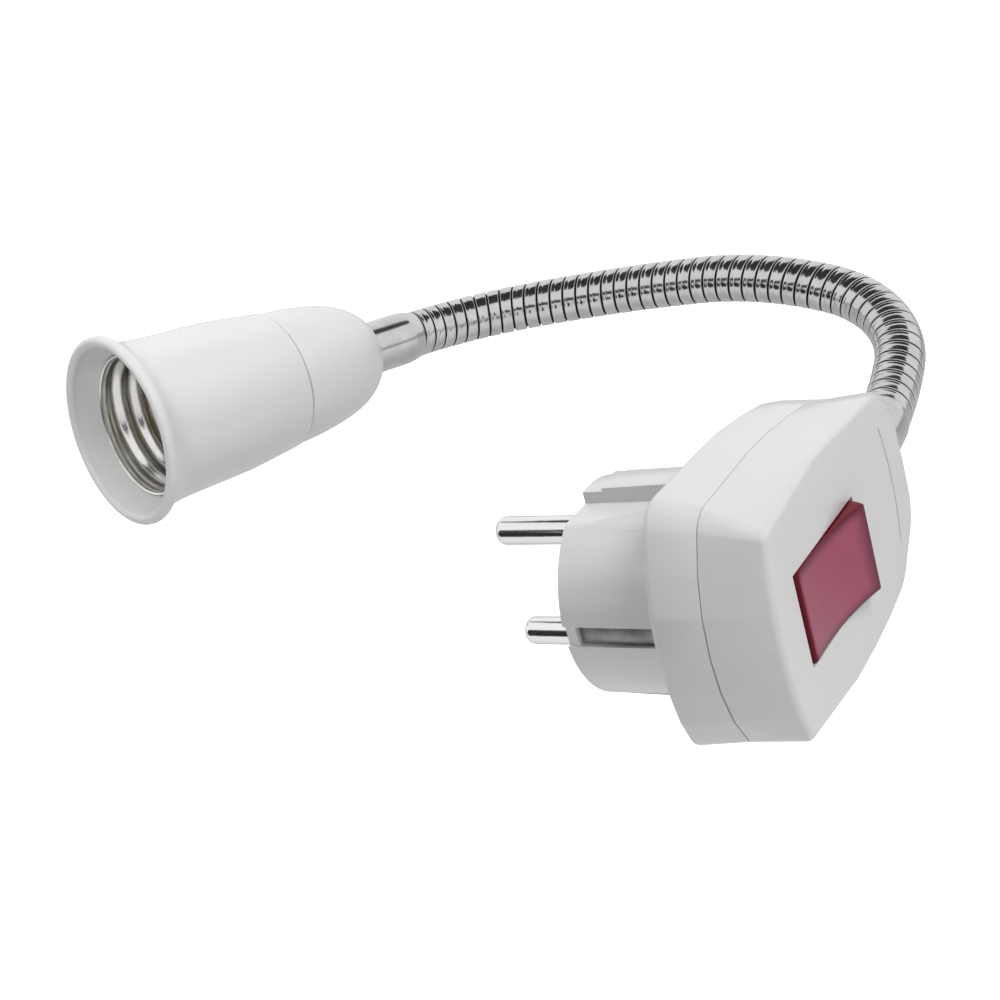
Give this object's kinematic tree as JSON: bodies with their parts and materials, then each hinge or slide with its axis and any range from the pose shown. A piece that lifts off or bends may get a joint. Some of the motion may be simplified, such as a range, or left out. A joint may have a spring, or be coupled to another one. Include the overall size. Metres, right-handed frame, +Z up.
{
  "type": "plug in lamp holder",
  "caption": "Mains plug with a rocker switch, carrying a screw lamp holder on a bendable metal neck.",
  "frame": {"origin": "middle of the plug's face, the flat face that the contact pins stand on", "axes": "+Y the way the pins point, into the wall socket; +Z up along the line of the two pins; +X towards the side where the neck leaves the plug's housing"},
  "size_m": [0.1193, 0.1527, 0.07],
  "materials": {
    "white_plastic": "glossy white, moulded",
    "nickel": "nickel plated, polished",
    "grey_plastic": "moulded",
    "tinned_strip": "bent strip, satin",
    "ivory_plastic": "moulded",
    "red_plastic": "translucent red, moulded",
    "contact_brass": "stamped",
    "lamp_glass": "clear",
    "zinc_steel": "zinc plated",
    "neck_chrome": "chrome plated",
    "shell_metal": "rolled sheet",
    "block_ceramic": "unglazed",
    "lead_brown": "insulation",
    "lead_blue": "insulation"
  },
  "bodies": {
    "plug": {"rear_shell": "white_plastic", "front_cover": "white_plastic", "pin_upper": "nickel", "pin_lower": "nickel", "pin_carrier": "grey_plastic", "earth_strap": "tinned_strip", "switch_body": "ivory_plastic", "switch_terminals": "contact_brass", "indicator_lamp": "lamp_glass", "housing_screws": "zinc_steel", "plug_ferrule": "neck_chrome", "plug_ferrule_clip": "zinc_steel", "neck_section_1": "neck_chrome", "lead_live": "lead_brown", "lead_neutral": "lead_blue"},
    "rocker": {"rocker": "red_plastic", "rocker_contact": "contact_brass"},
    "neck_2": {"neck_section_2": "neck_chrome"},
    "neck_3": {"neck_section_3": "neck_chrome"},
    "neck_4": {"neck_section_4": "neck_chrome"},
    "holder": {"neck_section_5": "neck_chrome", "holder_ferrule": "neck_chrome", "holder_nut": "zinc_steel", "holder_cap": "white_plastic", "holder_body": "white_plastic", "screw_shell": "shell_metal", "contact_block": "block_ceramic", "centre_contact": "contact_brass", "side_contact": "contact_brass", "terminal_screws": "zinc_steel", "holder_leads": "lead_brown"}
  },
  "joints": [
    {"name": "rocker_tilt", "type": "hinge", "parent": "plug", "child": "rocker", "pos_m": [0.0007, -0.0338, 0], "axis": [0, 0, 1], "range_deg": [0, 12]},
    {"name": "neck_bend_1", "type": "hinge", "parent": "plug", "child": "neck_2", "pos_m": [0.07229, -0.02562, 0.00478], "axis": [-0.3321, -0.0199, 0.943], "range_deg": [-20, 20]},
    {"name": "neck_bend_2", "type": "hinge", "parent": "neck_2", "child": "neck_3", "pos_m": [0.08946, -0.00791, 0.01471], "axis": [-0.864, 0.2219, -0.4519], "range_deg": [-20, 20]},
    {"name": "neck_bend_3", "type": "hinge", "parent": "neck_3", "child": "neck_4", "pos_m": [0.09054, 0.0202, 0.01849], "axis": [-0.4856, -0.0095, 0.8741], "range_deg": [-20, 20]},
    {"name": "neck_bend_4", "type": "hinge", "parent": "neck_4", "child": "holder", "pos_m": [0.08284, 0.05623, 0.01898], "axis": [-0.8119, -0.3179, -0.4896], "range_deg": [-20, 20]}
  ]
}
